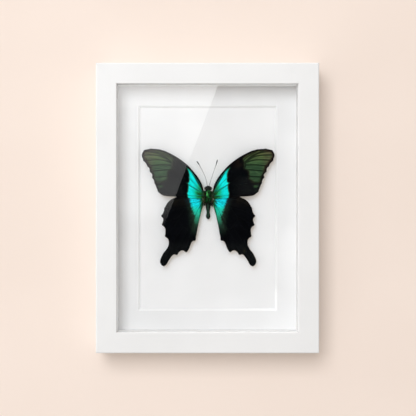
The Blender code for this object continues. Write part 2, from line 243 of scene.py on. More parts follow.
class Growth(Nodes):
    """A Geometry Nodes tree with named inputs. run() grows a plain mesh from a base object."""

    KINDS = {float: "NodeSocketFloat", int: "NodeSocketInt"}

    def __init__(self, name, **inputs):
        super().__init__(bpy.data.node_groups.new(name, "GeometryNodeTree"))
        face = self.tree.interface
        face.new_socket("Base", in_out="INPUT", socket_type="NodeSocketGeometry")
        self.keys = {}
        for label, value in inputs.items():
            made = face.new_socket(label, in_out="INPUT", socket_type=self.KINDS[type(value)])
            made.default_value = value
            self.keys[label] = made.identifier
        face.new_socket("Grown", in_out="OUTPUT", socket_type="NodeSocketGeometry")
        self.entry = self.tree.nodes.new("NodeGroupInput")

    def input(self, label):
        return Value(self, self.entry.outputs[label])

    def attribute(self, name, kind="FLOAT"):
        return self.add("GeometryNodeInputNamedAttribute", {"data_type": kind}, {"Name": name})

    def random(self, low, high, seed):
        if isinstance(low, tuple):
            settings, keys, out = {"data_type": "FLOAT_VECTOR"}, (0, 1), 0
        else:
            settings, keys, out = {"data_type": "FLOAT"}, (2, 3), 1
        values = {keys[0]: low, keys[1]: high, "Seed": seed}
        return self.add("FunctionNodeRandomValue", settings, values, out=out)

    def done(self, geometry, material):
        """Ends the tree: smooth, instances made real, with their material."""
        smooth = self.add("GeometryNodeSetShadeSmooth", None, {0: geometry})
        real = self.add("GeometryNodeRealizeInstances", None, {0: smooth})
        painted = self.add("GeometryNodeSetMaterial", None, {0: real, 2: material})
        self.add("NodeGroupOutput", None, {0: painted}, out=None)
        return self

    def run(self, name, base, **inputs):
        """The plain mesh object that this tree grows on the base object, which is then removed."""
        modifier = base.modifiers.new("growth", "NODES")
        modifier.node_group = self.tree
        for label, value in inputs.items():
            modifier[self.keys[label]] = value
        graph = bpy.context.evaluated_depsgraph_get()
        mesh = bpy.data.meshes.new_from_object(base.evaluated_get(graph), depsgraph=graph)
        base.modifiers.remove(modifier)
        bpy.data.objects.remove(base, do_unlink=True)
        mesh.name = name
        return link(name, mesh)


# ---- meshes ------------------------------------------------------------------------------


def link(name, data):
    made = bpy.data.objects.new(name, data)
    bpy.context.scene.collection.objects.link(made)
    return made


def mesh_object(name, points, faces, material=None, edges=()):
    mesh = bpy.data.meshes.new(name)
    mesh.from_pydata([tuple(p) for p in points], list(edges), faces)
    if material is not None:
        mesh.materials.append(material)
    return link(name, mesh)


def joined(mesh):
    """A bmesh of a mesh with doubles merged and every face turned outwards."""
    work = bmesh.new()
    work.from_mesh(mesh)
    bmesh.ops.remove_doubles(work, verts=work.verts, dist=1e-6)
    bmesh.ops.recalc_face_normals(work, faces=work.faces)
    return work


def outwards(piece):
    """Merges doubles and turns every face outwards."""
    work = joined(piece.data)
    work.to_mesh(piece.data)
    work.free()
    return piece


def put(piece, slot, *nodes):
    """Attaches a new piece to the body and hides the CAD nodes it stands for. Its slot is not used."""
    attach(piece, BODY)
    if nodes:
        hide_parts(*nodes)
    return piece


def chained(ahead):
    """The keys of a ring in order, where each one's value is the next key."""
    start = min(ahead)
    order = [start]
    while ahead[order[-1]] != start:
        order.append(ahead[order[-1]])
    return order


def front_edge(node):
    """The outline of a flat CAD node's front face, in order, as an array of u, v in millimetres."""
    work = joined(NODES[node].data)
    front = {face for face in work.faces if face.normal.y < -0.7}
    ahead = {}
    for edge in work.edges:
        inside = [face for face in edge.link_faces if face in front]
        if len(inside) == 1:
            loop = next(l for l in inside[0].loops if l.edge == edge)
            ahead[loop.vert.index] = loop.link_loop_next.vert.index
    work.verts.ensure_lookup_table()
    points = [work.verts[i].co.copy() for i in chained(ahead)]
    work.free()
    return np.array([((p.x - AXIS_X) / MM, (p.z - ROOT_Z) / MM) for p in points])


def curve_through(points, steps=8, closed=False):
    """A Catmull-Rom curve through a list of points of any dimension, as an array."""
    given = np.array(points, float)
    count = len(given)
    spans = count if closed else count - 1
    found = []
    for i in range(spans):
        picks = [(i + k) % count if closed else min(max(i + k, 0), count - 1) for k in (-1, 0, 1, 2)]
        a, b, c, d = given[picks]
        t = np.linspace(0, 1, steps, endpoint=False)[:, None]
        found.append(0.5 * (2 * b + (c - a) * t + (2 * a - 5 * b + 4 * c - d) * t ** 2
                            + (3 * b - a - 3 * c + d) * t ** 3))
    if not closed:
        found.append(given[-1:])
    return np.concatenate(found)


def respaced(line, spacing, closed=True):
    """Points at an even spacing along a line."""
    whole = np.concatenate([line, line[:1]]) if closed else line
    along = np.concatenate([[0], np.cumsum(np.linalg.norm(np.diff(whole, axis=0), axis=1))])
    count = max(8, round(along[-1] / spacing))
    at = np.linspace(0, along[-1], count, endpoint=not closed)
    return np.stack([np.interp(at, along, whole[:, k]) for k in range(whole.shape[1])], axis=1)


def distance_to(points, line, closed=False):
    """Distance of each point to a line of points, in the plane."""
    starts = line if closed else line[:-1]
    ends = np.roll(line, -1, axis=0) if closed else line[1:]
    least = np.full(len(points), np.inf)
    for a, b in zip(starts, ends):
        ab = b - a
        share = np.clip(((points - a) @ ab) / max(ab @ ab, 1e-12), 0, 1)
        least = np.minimum(least, np.linalg.norm(points - a - share[:, None] * ab, axis=1))
    return least


def inside(points, loop):
    """True for each point that lies inside a closed loop."""
    found = np.zeros(len(points), bool)
    for (x1, y1), (x2, y2) in zip(loop, np.roll(loop, -1, axis=0)):
        if y1 != y2:
            crosses = (y1 > points[:, 1]) != (y2 > points[:, 1])
            found ^= crosses & (points[:, 0] < (x2 - x1) * (points[:, 1] - y1) / (y2 - y1) + x1)
    return found


def signed_distance(points, loop):
    """Distance to a closed loop, above zero inside it."""
    return np.where(inside(points, loop), 1, -1) * distance_to(points, loop, closed=True)


def outward_normals(loop):
    """The direction away from a closed loop at each of its points."""
    ahead = np.roll(loop, -1, axis=0) - np.roll(loop, 1, axis=0)
    out = np.stack([ahead[:, 1], -ahead[:, 0]], axis=1)
    out /= np.linalg.norm(out, axis=1)[:, None]
    return -out if inside(loop[:1] + out[:1] * 0.05, loop)[0] else out


def place(u, v, depth):
    """A point of the specimen, from millimetres in its own frame and a depth behind the face."""
    return (AXIS_X + u * MM, FACE_Y + depth * MM, ROOT_Z + v * MM)


def depth_of(y):
    """Millimetres behind the frame's face."""
    return (y - FACE_Y) / MM


# ---- finishes of the frame ---------------------------------------------------------------


def white_paint(name, along):
    """Satin white paint over wood: the grain runs along the rail and just shows through."""
    paint = Finish(name)
    at = paint.place()
    across = {"x": (6, 90, 90), "z": (90, 90, 6)}[along]
    grain = paint.noise(paint.stretched(at, across), 9, detail=5, roughness=0.62)
    pores = paint.noise(paint.stretched(at, tuple(3 * s for s in across)), 12, detail=2)
    brushed = paint.noise(at, 700, detail=2)
    cloudy = paint.noise(at, 26, detail=3)
    tone = paint.mix(cloudy.rise(0.3, 0.7), (0.762, 0.762, 0.754), (0.786, 0.786, 0.778))
    tone = paint.mix(pores.rise(0.62, 0.78) * 0.30, tone, (0.700, 0.692, 0.672))
    height = grain * 0.75 + pores.rise(0.40, 0.70) * -0.20 + brushed * 0.22
    return paint.surface(
        Base_Color=tone, Roughness=0.36 + grain * 0.20, Normal=paint.bump(height, 0.10 * MM, 0.55),
        IOR=1.48, Specular_IOR_Level=0.42)


def picture_glass():
    """Clear float glass. Light for the pieces behind it passes as if it weren't there."""
    glass = Finish("picture_glass")
    haze = glass.noise(glass.place(), 30, detail=4).rise(0.66, 0.86)
    clear = glass.principled(
        Base_Color=(0.995, 1.0, 0.998), Roughness=haze * 0.010, IOR=1.5, Transmission_Weight=1.0)
    shadow = glass.add("ShaderNodeLightPath", out="Is Shadow Ray")
    unseen = shadow.most(shadow.also("Is Diffuse Ray"))
    through = glass.add("ShaderNodeBsdfTransparent", None, {0: (1.0, 1.0, 1.0)})
    return glass.done(glass.add("ShaderNodeMixShader", None, {0: unseen, 1: clear, 2: through}))


MAT_WINDOW = (52.9 * MM, 77.9 * MM)  # half its width and height at the mat's face
CUT_EDGE = 0.1 * MM


def card(name, face, core=None):
    """Matt white card with a fine tooth. A mat's cut bevel, within the window, shows its core."""
    board = Finish(name)
    at = board.place()
    tooth = board.noise(at, 1500, detail=3, roughness=0.6)
    felt = board.noise(at, 260, detail=3)
    cloudy = board.noise(at, 34, detail=2)
    fibres = board.noise(board.stretched(at, (1, 1, 0.22)), 2600, detail=2)
    dark = tuple(0.965 * c for c in face)
    tone = board.mix(cloudy.rise(0.35, 0.65), dark, face)
    tone = board.mix(fibres.rise(0.66, 0.80) * 0.35, tone, tuple(0.90 * c for c in face))
    if core:
        x, z = board.across_and_up()
        width, height = MAT_WINDOW
        beside = abs(x - MIDDLE.x).rise(width, width - CUT_EDGE)
        level = abs(z - MIDDLE.z).rise(height, height - CUT_EDGE)
        tone = board.mix(beside * level, tone, core)
    return board.surface(
        Base_Color=tone, Roughness=0.78 + felt * 0.16, IOR=1.45, Specular_IOR_Level=0.25,
        Normal=board.bump(tooth * 0.5 + felt * 0.5, 0.05 * MM, 0.6))


def hardboard():
    """Brown pressed fibreboard: mottled, with loose pale and dark fibres in its smooth face."""
    board = Finish("hardboard")
    at = board.place()
    warp = board.noise(at, 90, detail=2, colour=True)
    bent = board.mix(0.04, at, warp)
    fibres = board.noise(board.stretched(bent, (1, 1, 0.16)), 1300, detail=4, roughness=0.65)
    cross = board.noise(board.stretched(bent, (0.16, 1, 1)), 1300, detail=4, roughness=0.65)
    mottle = board.noise(at, 300, detail=5, roughness=0.65)
    tone = board.mix(mottle.rise(0.3, 0.7), (0.225, 0.132, 0.071), (0.280, 0.170, 0.095))
    tone = board.mix(fibres.rise(0.55, 0.75) * 0.55, tone, (0.420, 0.290, 0.180))
    tone = board.mix(cross.rise(0.58, 0.78) * 0.55, tone, (0.120, 0.066, 0.034))
    return board.surface(
        Base_Color=tone, Roughness=0.55 + mottle * 0.25, IOR=1.5, Specular_IOR_Level=0.35,
        Normal=board.bump(fibres + cross, 0.06 * MM, 0.7))


def zinc_steel():
    """Bright zinc plate on stamped steel: drawn lines, cloudy patches and a few dull specks."""
    steel = Finish("zinc_steel")
    at = steel.place()
    drawn = steel.noise(steel.stretched(at, (1, 1, 14)), 420, detail=3)
    clouds = steel.noise(at, 420, detail=4)
    specks = steel.noise(at, 2400, detail=2).rise(0.68, 0.76)
    tone = steel.mix(clouds.rise(0.3, 0.7), (0.56, 0.575, 0.60), (0.70, 0.705, 0.71))
    tone = steel.mix(specks * 0.6, tone, (0.30, 0.29, 0.27))
    return steel.surface(
        Base_Color=tone, Metallic=1.0, Roughness=0.26 + clouds * 0.20 + specks * 0.25,
        Normal=steel.bump(drawn * 0.6 + clouds * 0.4, 0.02 * MM, 0.6))


def finish_node(material, *nodes):
    """Gives CAD nodes that keep their shape a new material."""
    for node in nodes:
        slots = NODES[node].data.materials
        for i in range(len(slots)):
            slots[i] = material
        if not slots:
            slots.append(material)


FILLER_WIDE = 0.10 * MM
FILLER_SUNK, FILLER_DEEP = 0.07 * MM, 1.2 * MM  # its front and back, behind the face
FILLER_FROM, FILLER_TO = 1.3 * MM, 20.9 * MM  # its ends, from the frame's corner


def mitre_fillers(material):
    """Thin strips of filler that close the joint of each mitre at the face."""
    outer = Vector((CAD_HIGH.x - CAD_LOW.x, 0, CAD_HIGH.z - CAD_LOW.z)) / 2
    faces = [(0, 1, 2, 3), (7, 6, 5, 4), (0, 4, 5, 1), (1, 5, 6, 2), (2, 6, 7, 3), (3, 7, 4, 0)]
    corners = [(up, level, across, side) for up, level in ((-1, "lower"), (1, "upper"))
               for across, side in SIDES]
    for up, level, across, side in corners:
        corner = MIDDLE + Vector((across * outer.x, 0, up * outer.z))
        along = Vector((-across, 0, -up)).normalized()
        sideways = Vector((-along.z, 0, along.x)) * FILLER_WIDE / 2
        points = []
        for depth in (FILLER_SUNK, FILLER_DEEP):
            for reach, way in ((FILLER_FROM, -1), (FILLER_FROM, 1), (FILLER_TO, 1), (FILLER_TO, -1)):
                point = corner + along * reach + sideways * way
                points.append((point.x, FACE_Y + depth, point.z))
        name = f"mitre_filler_{level}_{side}"
        strip = outwards(mesh_object(name, points, faces, material))
        put(strip, "white_paint")


def frame_finishes():
    upright = white_paint("white_paint_upright", "z")
    level = white_paint("white_paint_level", "x")
    finish_node(upright, "rail_left", "rail_right")
    finish_node(level, "rail_top", "rail_bottom")
    mitre_fillers(upright)
    finish_node(picture_glass(), "glass")
    finish_node(card("spacer_card", (0.95, 0.95, 0.945)),
                "spacer_top", "spacer_bottom", "spacer_left", "spacer_right")
    finish_node(card("mat_card", (0.875, 0.875, 0.875), (0.935, 0.935, 0.935)), "window_mat")
    finish_node(card("mount_card", (0.91, 0.91, 0.91)), "mount_board")
    finish_node(hardboard(), "back_panel")
    steel = zinc_steel()
    points = [name for name in NODES if name.startswith(("point_", "corner_nail_"))]
    finish_node(steel, "sawtooth_hanger", "hanger_screw_left", "hanger_screw_right", *points)


# ---- the wings ---------------------------------------------------------------------------

GRAIN = 0.36  # spacing of a wing's points, in millimetres
THIN = 0.13  # thickness of a wing
THIN_RIM = 0.06
REACH_FROM, FAN_FROM = (3.0, -0.5), (2.0, -0.5)  # where the folds and the rays start
RIM_WIDE = 1.2  # the skin thins out over this much of its edge
RIDGE, RIDGE_WIDE = 0.07, 0.30  # how far the skin rises along a vein
VALLEY, VALLEY_FROM = 0.05, 2.0  # how far it sinks between the veins
WAVE = 0.16  # how far a dried wing waves out of its plane
SCALLOP = 0.55  # how far a vein's tooth stands out of the outer edge
TOOTH = 1.65  # half its width along the edge
RIM_IN = 0.22  # how far the skin stops short of the outline, which the fringe fills
VEIN_STEP = 0.5  # spacing of the points along a vein
VEIN_MARGIN = 0.15  # a vein ends this far inside the rim
VEIN_LIFT = 0.045  # a vein's middle lies this far in front of the skin's
VEIN_HALF = (0.15, 0.07)  # half thickness of a vein, near the body and far out

# Veins of the right wings from the front of the wing to the back, root first, in millimetres.
FOREWING_VEINS = [
    [(3.5, 5), (12, 18), (22, 27.5), (33, 33.6)],
    [(3.5, 2.5), (11, 11), (17, 17.5), (28, 29), (37, 34.6)],
    [(11, 11), (20, 19.5), (27, 25.8), (33, 31), (43, 35.3)],
    [(20, 19.5), (27, 25.8), (37, 32.5), (47.6, 34.4)],
    [(20, 19.5), (27.5, 25.6), (36.3, 30.8), (48.6, 31.6)],
    [(27.5, 25.6), (36, 27.9), (48, 27.5)],
    [(28, 24), (36, 24.1), (45.2, 23.2)],
    [(26.6, 20.6), (34, 20.2), (43.3, 19.2)],
    [(23.5, 16), (31, 15.5), (41.9, 14.8)],
    [(17.4, 10.8), (27, 10.2), (40.1, 10.5)],
    [(3.5, 1.3), (12.3, 0.8), (26, 2), (37.4, 4.1)],
]
FOREWING_CELL = [
    [(3.5, 3.2), (9.5, 6.4), (17.4, 10.8), (20.5, 13), (23.5, 16), (26.6, 20.6)],
    [(26.6, 20.6), (27.8, 22.6), (28.2, 25.9)],
]
HINDWING_VEINS = [
    [(4, -2), (15, -0.8), (26, -3.5), (32.7, -8.4)],
    [(4, -3), (12, -4.5), (17, -7.5), (27, -10.5), (35, -14.2)],
    [(17, -7.5), (21.5, -14), (28, -17.5), (34.4, -20.8)],
    [(21.8, -17), (27, -24), (32.2, -29.4)],
    [(18.5, -22.2), (24.5, -31), (30, -42), (33.8, -50)],
    [(15, -24), (19.5, -33), (23.7, -42.8)],
    [(8, -10), (11.8, -20), (14, -30), (16.5, -40.8)],
    [(4, -5), (6.5, -15), (8.2, -24), (9.9, -32)],
]
HINDWING_CELL = [
    [(4, -3.4), (8, -10), (11.5, -18), (15, -24), (18.5, -22.2), (21.8, -17), (21.5, -14)],
]

# Outlines of the markings. The band runs on from the forewing to the hindwing.
FOREWING_BAND = [
    (16.4, 22.0), (15.2, 19.6), (14.7, 17.2), (14.9, 14.8), (14.8, 12.4), (15.4, 11.3),
    (17.2, 10.7), (15.9, 9.8), (15.5, 8.4), (15.7, 6.4), (15.9, 4.4), (16.5, 3.0), (16.2, 1.2),
    (15.9, -0.6), (15.9, -2.0), (3.0, -2.0), (3.6, 2.6), (5.4, 6.4), (7.6, 10.6), (10.6, 15.6),
    (13.1, 19.6),
]
FOREWING_PATCH = [
    (27.4, 21.8), (27.2, 26.0), (26.5, 28.6), (28.6, 30.5), (31.8, 32.4), (36.0, 34.2),
    (40.0, 35.0), (45.0, 34.8), (48.0, 33.6), (48.6, 31.5), (47.0, 28.0), (44.8, 25.5),
    (43.0, 22.8), (41.8, 19.5), (40.2, 16.5), (39.6, 13.8), (38.4, 11.4), (35.5, 11.0),
    (33.0, 12.0), (30.8, 13.8), (30.9, 17.0), (30.0, 19.8),
]
HINDWING_BAND = [
    (-4.0, 4.0), (13.6, 4.0), (13.6, -2.3), (13.1, -4.7), (12.3, -7.3), (11.5, -9.5),
    (10.6, -13.0), (10.1, -17.0), (9.9, -22.0), (9.2, -27.0), (-4.0, -27.0),
]


def vein_flow(points, veins):
    """Which veins a point lies between, as a number that grows by 1 from each vein to the next."""
    total = weights = 0
    for i, vein in enumerate(veins):
        weight = 1 / (distance_to(points, curve_through(vein)) ** 2 + 0.05)
        total = total + i * weight
        weights = weights + weight
    return total / weights


def least_distance(points, lines):
    return np.min([distance_to(points, curve_through(line)) for line in lines], axis=0)


class Wing:
    """One wing's shape and markings, worked out for the right side and used for both."""

    def __init__(self, node, veins, cell, band, patch=None):
        self.node = node
        self.veins = veins
        self.cell = cell
        copy = joined(NODES[node + "_right"].data)
        found = np.array([(v.co.x, v.co.y) for v in copy.verts])
        copy.free()
        # The plate's front and back are two parallel planes that lean back towards the body.
        out = (found[:, 0] - AXIS_X) / MM
        fit = np.polyfit(out, depth_of(found[:, 1]), 1)
        self.lean, self.root_depth = fit
        rim = self.scalloped(respaced(front_edge(node + "_right"), GRAIN))
        low, high = rim.min(axis=0), rim.max(axis=0)
        rows = np.arange(low[1], high[1], GRAIN * math.sqrt(3) / 2)
        grid = [(x + (i % 2) * GRAIN / 2, y) for i, y in enumerate(rows)
                for x in np.arange(low[0], high[0], GRAIN)]
        grid = np.array(grid)
        grid = grid[signed_distance(grid, rim) > 0.6 * GRAIN]
        points = np.concatenate([rim, grid])
        rim_edges = [(i, (i + 1) % len(rim)) for i in range(len(rim))]
        made = delaunay_2d_cdt([Vector(p) for p in points], rim_edges, [], 1, 1e-6)
        self.points = np.array([tuple(p) for p in made[0]])
        self.faces = [tuple(face) for face in made[2]]
        self.rim = rim
        inner = distance_to(self.points, rim, closed=True)
        u, v = self.points.T
        self.fields = {
            "u": u,
            "v": v,
            "rim": inner,
            "vein": least_distance(self.points, veins + cell),
            "flow": vein_flow(self.points, veins),
            "reach": np.hypot(u - REACH_FROM[0], v - REACH_FROM[1]),
            "fan": np.arctan2(v - FAN_FROM[1], u - FAN_FROM[0]),
            "band": signed_distance(self.points, curve_through(band, closed=True)),
        }
        if patch:
            self.fields["patch"] = signed_distance(self.points, curve_through(patch, closed=True))

    def scalloped(self, rim):
        """The outline with a small tooth where each vein meets it and a hollow between them."""
        ends = np.array([vein[-1] for vein in self.veins])
        out = outward_normals(rim)
        near = np.min(np.linalg.norm(rim[:, None] - ends[None], axis=2), axis=1)
        tooth = np.where(near < TOOTH, 0.5 + 0.5 * np.cos(np.pi * near / 1.5 * 0.9), 0.0)
        outer = np.interp(rim[:, 0], (6, 12), (0, RIM_IN)) * np.clip(out[:, 0], 0, 1)
        return rim + out * (SCALLOP * tooth - outer)[:, None]

    def height(self, u, v, sign):
        """How far the wing stands towards the glass from its plane, in millimetres."""
        phase = 1.3 if sign > 0 else 0.2
        slow = np.sin(0.16 * u + phase) * np.cos(0.13 * v - phase)
        slow = slow + 0.5 * np.sin(0.3 * v + 0.11 * u + 2 * phase)
        return WAVE * slow * np.clip(u / 12, 0, 1)

    def surface(self, points, sign, lift=0.0):
        """Where points of the wing lie, from u and v, lift millimetres in front of its middle."""
        u, v = points.T
        depth = self.root_depth + self.lean * u - self.height(u, v, sign) - lift
        return [place(sign * a, b, d) for a, b, d in zip(u, v, depth)]

    def membrane(self, sign, word, material, slot):
        """The wing itself: a thin closed skin, pleated between its veins and thinner at its rim."""
        vein = self.fields["vein"]
        ridge = RIDGE * np.exp(-(vein / RIDGE_WIDE) ** 2)
        pleat = ridge - VALLEY * np.clip(vein / VALLEY_FROM, 0, 1)
        half = np.interp(self.fields["rim"], (0, RIM_WIDE), (THIN_RIM / 2, THIN / 2))
        front = self.surface(self.points, sign, pleat + half)
        back = self.surface(self.points, sign, pleat - half)
        count = len(self.points)
        ring = self.ring_order()
        faces = list(self.faces)
        faces += [tuple(count + i for i in reversed(face)) for face in self.faces]
        faces += [(a, b, count + b, count + a) for a, b in zip(ring, ring[1:] + ring[:1])]
        wing = mesh_object(f"{self.node}_{word}_membrane", front + back, faces, material)
        for name, values in self.fields.items():
            field = wing.data.attributes.new(name, "FLOAT", "POINT")
            field.data.foreach_set("value", np.tile(values, 2).astype(np.float32))
        outwards(wing)
        wing.data.shade_smooth()
        return put(wing, slot, f"{self.node}_{word}")

    def ring_order(self):
        """The rim's points in order, by the edges that only one face uses."""
        ahead = {}
        for face in self.faces:
            for a, b in zip(face, face[1:] + face[:1]):
                if (b, a) in ahead:
                    del ahead[(b, a)]
                else:
                    ahead[(a, b)] = True
        return chained(dict(ahead.keys()))

    def vein_lines(self, sign):
        """The veins as one mesh of edges on the wing's front, with each point's half thickness."""
        points, edges, widths = [], [], []
        for line in self.veins + self.cell:
            route = respaced(curve_through(line), VEIN_STEP, closed=False)
            route = route[signed_distance(route, self.rim) > VEIN_MARGIN]
            edges += [(len(points) + i, len(points) + i + 1) for i in range(len(route) - 1)]
            points += self.surface(route, sign, VEIN_LIFT)
            widths += list(np.interp(np.hypot(*route.T), (4, 46), VEIN_HALF))
        return points, edges, widths


def scale_finish(name):
    """The start of a wing's finish: its fields and its fine folds, pleats, rays and streaks."""
    skin = Finish(name)
    for field in ("u", "v", "rim", "vein", "flow", "reach", "fan", "band", "patch"):
        setattr(skin, field, skin.attribute(field))
    at = skin.place()
    skin.side = skin.on_specimen()[0].sign()
    # Folds follow the veins outwards; rays spread from the root.
    folds = skin.vector(skin.flow * 5.0, skin.reach * 0.16, skin.side)
    skin.folds = skin.noise(folds, 1.0, detail=4, roughness=0.6)
    pleats = skin.vector(skin.flow * 2.6, skin.reach * 0.05, skin.side)
    skin.pleats = skin.noise(pleats, 1.0, detail=2, roughness=0.5)
    rays = skin.vector(skin.fan * 9.0, skin.reach * 0.10, skin.side)
    skin.rays = skin.noise(rays, 1.0, detail=4, roughness=0.65)
    streaks = skin.vector(skin.fan * 17.0, skin.reach * 0.13, skin.side + 4.0)
    skin.streaks = skin.noise(streaks, 1.0, detail=3, roughness=0.6)
    skin.fuzz = skin.noise(at, 1500, detail=3, roughness=0.65)
    skin.cloud = skin.noise(at, 160, detail=3)
    return skin


def scaled_skin(skin, tone):
    """Ends a wing's finish: rows of tiny scales in the bump, and a fuzzy roughness."""
    tile = skin.vector(skin.flow * 26.0, skin.reach * 7.5, 0.0)
    scales = skin.add("ShaderNodeTexVoronoi", {"feature": "F1"}, {"Vector": tile, "Scale": 1.0})
    ribs = (0.7 - skin.vein).clamped()
    height = scales * -0.35 + skin.folds * 0.9 + skin.fuzz * 0.4 + ribs * 1.2
    return skin.surface(
        Base_Color=tone, Roughness=0.62 + skin.fuzz * 0.25, IOR=1.45, Specular_IOR_Level=0.05,
        Normal=skin.bump(height, 0.10 * MM, 0.7))


def tint(red, green, blue):
    """A colour from 0 to 255 as it looks, turned into light values."""
    return tuple((c / 255 / 12.92) if c < 10.3 else ((c / 255 + 0.055) / 1.055) ** 2.4
                 for c in (red, green, blue))


BLACK = tint(1, 3, 6)
SOOT = tint(15, 16, 18)
MARGIN = tint(8, 7, 8)


def band_colours(skin, inner_edge, bluer):
    """The turquoise of the band, with its blue and green shares, its rays and its green root."""
    turquoise = skin.mix(skin.rays.rise(0.36, 0.66), tint(0, 218, 213), tint(22, 250, 244))
    turquoise = skin.mix(bluer, turquoise, tint(6, 216, 242))
    turquoise = skin.mix(skin.cloud.rise(0.52, 0.74) * 0.5, turquoise, tint(10, 201, 201))
    rooty = skin.ramp((inner_edge + (skin.rays - 0.5) * 9.0 - 2.0) / 8.0, [
        (0.00, tint(48, 44, 36)), (0.20, tint(22, 58, 28)), (0.42, tint(24, 116, 52)),
        (0.62, tint(26, 176, 108)), (0.85, tint(10, 205, 180))])
    dark_rays = (skin.streaks + (skin.fuzz - 0.5) * 0.3).rise(0.49, 0.58) * inner_edge.rise(10.5, 5.5)
    rooty = skin.mix(dark_rays * 0.92, rooty, tint(8, 26, 14))
    root_share = (inner_edge + (skin.streaks - 0.5) * 9.0).rise(10.6, 7.0)
    streaked = skin.mix(skin.streaks.rise(0.56, 0.72) * 0.36, turquoise, tint(6, 168, 170))
    return skin.mix(root_share, streaked, rooty)


def forewing_finish():
    skin = scale_finish("forewing_scales")
    u, v = skin.u, skin.v

    soot_share = u.rise(17, 27) * v.rise(17, 11) * (0.55 + skin.folds * 0.8)
    tone = skin.mix(soot_share, BLACK, SOOT)
    brown = u.rise(16, 24) * v.rise(19, 25) * skin.cloud.rise(0.40, 0.62)
    tone = skin.mix(brown * 0.75, tone, tint(30, 20, 13))
    glints = skin.folds.rise(0.54, 0.66) * u.rise(16, 21) * v.rise(18, 9) * skin.cloud.rise(0.38, 0.58)
    tone = skin.mix(glints * 0.9, tone, tint(34, 44, 36))

    # The apical patch: deep green, olive towards the leading edge and brown at the tip.
    green = skin.ramp((v + (skin.cloud - 0.5) * 2.0 - 8.0) / 28.0, [
        (0.05, tint(38, 58, 38)), (0.30, tint(48, 76, 50)), (0.52, tint(46, 72, 48)),
        (0.66, tint(64, 92, 56)), (0.82, tint(88, 102, 60)), (0.95, tint(92, 94, 60))])
    green = skin.mix(u.rise(39, 46) * 0.70, green, tint(82, 78, 58))
    green = skin.mix(skin.pleats.rise(0.50, 0.66) * 0.70, green, tint(22, 38, 24))
    green = skin.mix(skin.folds.rise(0.48, 0.36) * 0.40, green, tint(86, 116, 74))
    soft = skin.patch + (skin.pleats - 0.5) * 3.4 + (skin.fuzz - 0.5) * 0.9
    tone = skin.mix(soft.rise(-1.6, 0.6), tone, tint(36, 35, 23))
    tone = skin.mix(soft.rise(-0.5, 0.9) * (0.82 + skin.fuzz * 0.36).clamped(), tone, green)
    du, dv = (u - 35.6) / 1.9, (v - 7.9) / 1.1
    spot = (du * du + dv * dv + (skin.fuzz - 0.5) * 0.9).rise(1.1, 0.2)
    tone = skin.mix(spot, tone, tint(46, 74, 44))

    # The band.
    bluer = (v + u * 0.4).rise(22, 12) * (u - v * 0.62).rise(4.4, 0.4)
    band = band_colours(skin, (u * u * 0.62 + v * v * 0.34).root(), bluer)
    edge = skin.band + (skin.fuzz - 0.5) * 0.9 + (skin.rays - 0.5) * 1.0
    edge = edge - u.rise(12, 14.5) * v.rise(19, 15) * 0.45
    band = skin.mix(edge.rise(0.9, 0.3), band, tint(28, 160, 122))
    tone = skin.mix(edge.rise(-0.45, 0.15), tone, tint(36, 74, 52))
    tone = skin.mix(edge.rise(0.0, 0.7), tone, band)

    # Veins, and the dark rim, which is left off the hind edge within the band.
    in_band = edge.rise(0.0, 0.8)
    in_patch = skin.patch.rise(-1.0, 1.0)
    tone = skin.mix(skin.vein.rise(0.66, 0.30) * in_patch * 0.90, tone, tint(16, 26, 16))
    tone = skin.mix(skin.vein.rise(0.45, 0.16) * in_band * 0.45, tone, tint(20, 138, 130))
    # The main vein behind the cell shows darkest across the band.
    main_vein = (abs(v - (u * 0.63 - 0.15)) + (skin.fuzz - 0.5) * 0.5).rise(0.75, 0.25)
    tone = skin.mix(main_vein * in_band * u.rise(5, 8) * 0.75, tone, tint(16, 100, 92))
    rim = skin.rim + (skin.fuzz - 0.5) * 0.5
    tip = u.rise(40, 44) * v.rise(16, 20)
    tone = skin.mix(rim.rise(2.6, 0.8) * tip, tone, tint(48, 34, 28))
    hind_edge = u.rise(17.5, 15.5) * v.rise(3.0, 1.5)
    tone = skin.mix(rim.rise(1.3, 0.7) * (1 - hind_edge), tone, MARGIN)
    return scaled_skin(skin, tone)


